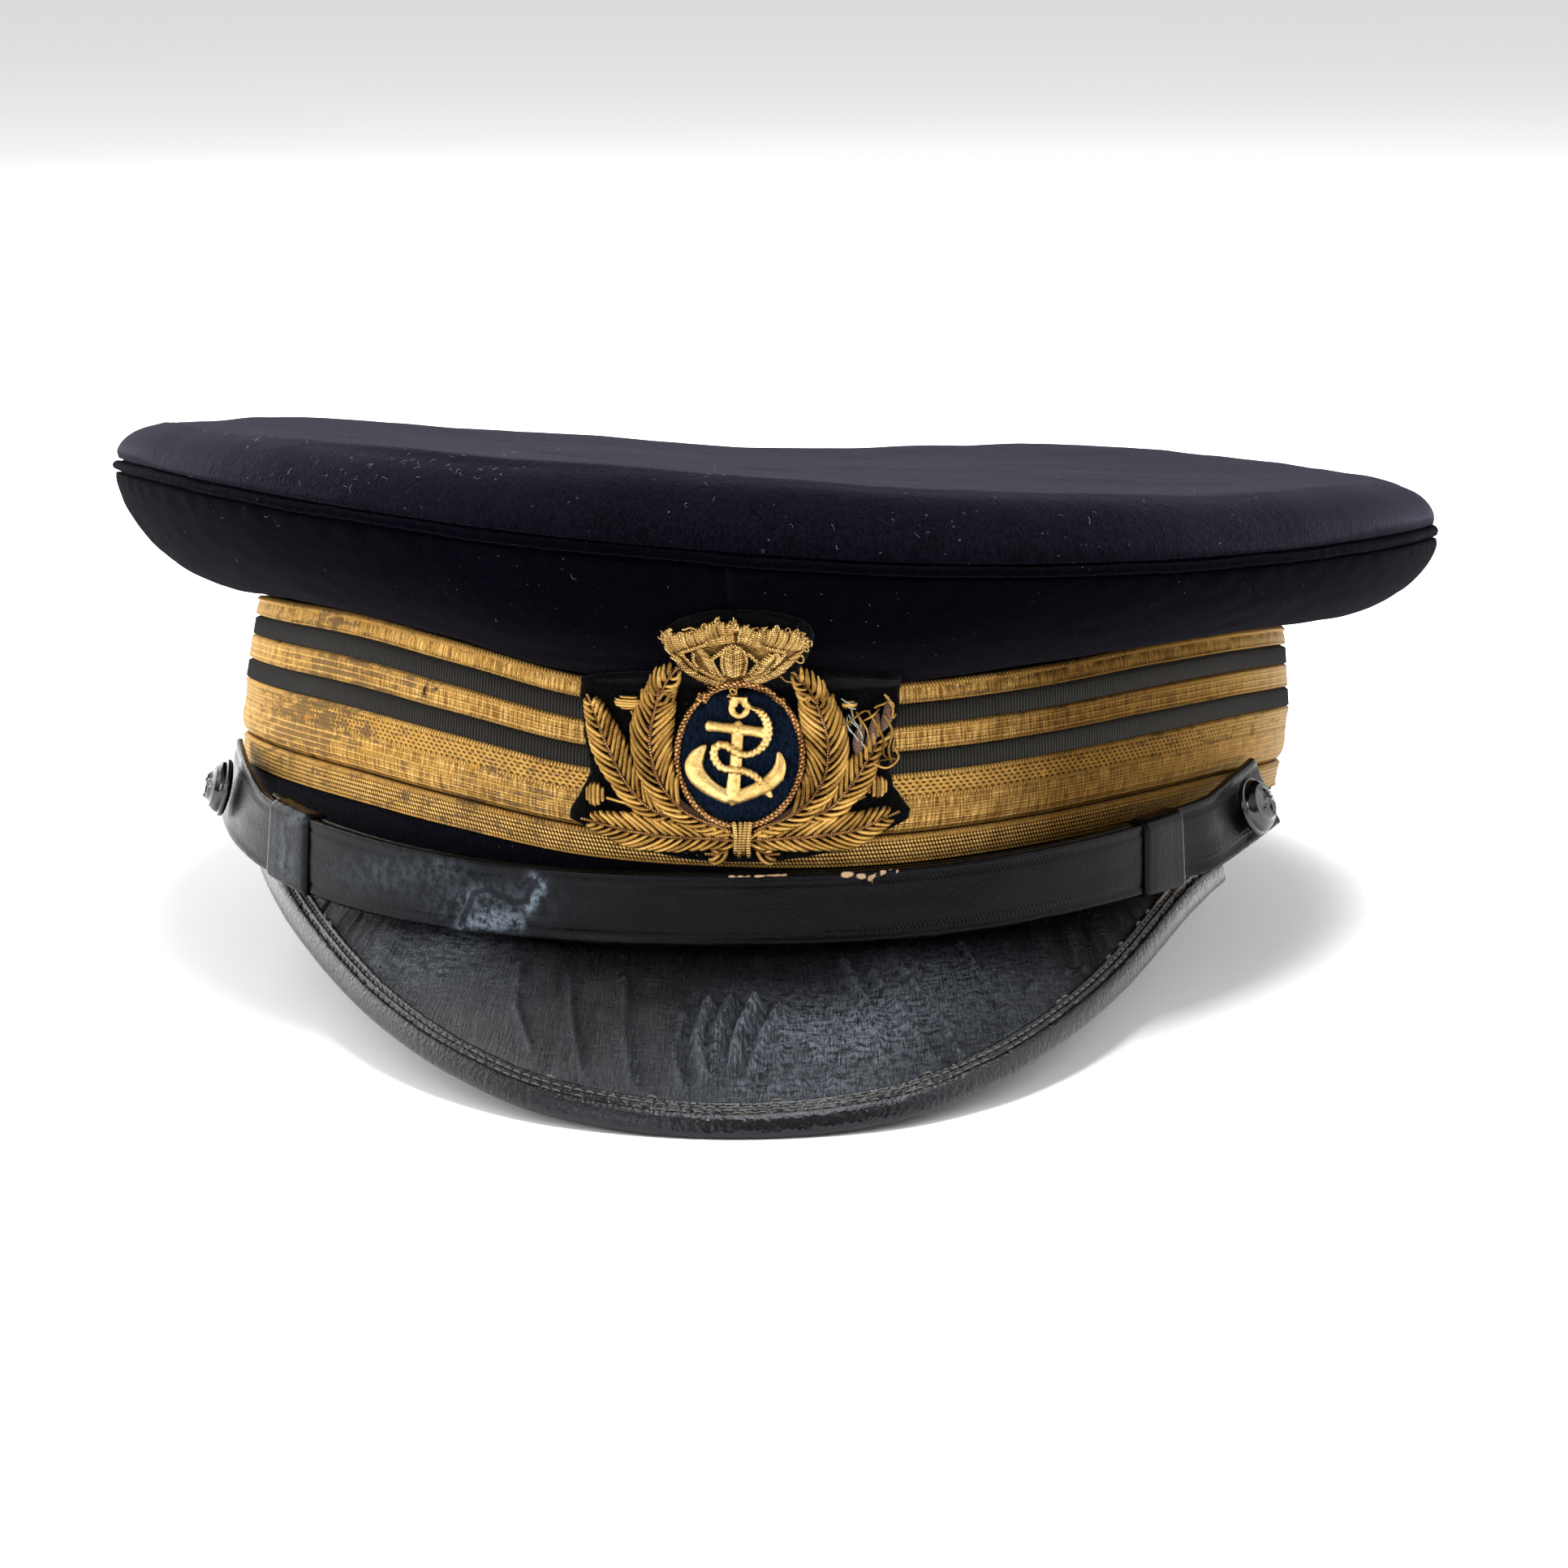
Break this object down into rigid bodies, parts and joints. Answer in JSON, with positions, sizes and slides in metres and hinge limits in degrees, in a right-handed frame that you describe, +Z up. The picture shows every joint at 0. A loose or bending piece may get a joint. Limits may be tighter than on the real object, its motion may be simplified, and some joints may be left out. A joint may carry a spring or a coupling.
{
  "type": "peaked captain hat",
  "caption": "Peaked cap with a wide soft crown, gold-laced band, black leather visor, leather chin strap with buttons and an embroidered anchor badge.",
  "frame": {"origin": "middle of the hat's plan outline, on the surface that it rests on", "axes": "+Z up, -Y to the front where the visor points, +X to the right of someone who faces the hat"},
  "size_m": [0.2108, 0.263, 0.0866],
  "materials": {
    "navy_cloth": "fulled navy wool felt, matt, with a soft nap and lint",
    "black_grosgrain": "ribbed black ribbon, matt",
    "gold_lace": "woven metal-thread lace, tan gold, tarnished in places",
    "gold_bullion": "coiled gilt wire embroidery, satin with bright glints",
    "copper_cord": "twisted coppery wire cord",
    "gilt_metal": "cast gilt metal, worn satin",
    "blue_felt": "dark blue felt",
    "badge_felt": "black felt",
    "visor_leather": "black patent-type leather, worn semi-gloss with creases",
    "strap_leather": "black strap leather, worn satin",
    "button_black": "gloss black moulded button"
  },
  "bodies": {
    "root": {"band": "navy_cloth", "crown_side_left": "navy_cloth", "crown_side_right": "navy_cloth", "crown_welt": "navy_cloth", "crown_top": "navy_cloth", "band_ribbon": "black_grosgrain", "lace_upper": "gold_lace", "lace_middle": "gold_lace", "lace_wide": "gold_lace", "lace_edge": "gold_lace", "visor": "visor_leather", "visor_binding": "visor_leather", "strap_left": "strap_leather", "strap_right": "strap_leather", "strap_loop_left": "strap_leather", "strap_loop_right": "strap_leather", "button_left": "button_black", "button_right": "button_black", "badge_patch": "badge_felt", "badge_crown": "gold_bullion", "badge_field": "blue_felt", "badge_cord": "copper_cord", "badge_wreath_left": "gold_bullion", "badge_wreath_right": "gold_bullion", "badge_tie": "gold_bullion", "badge_anchor": "gilt_metal"}
  },
  "joints": []
}
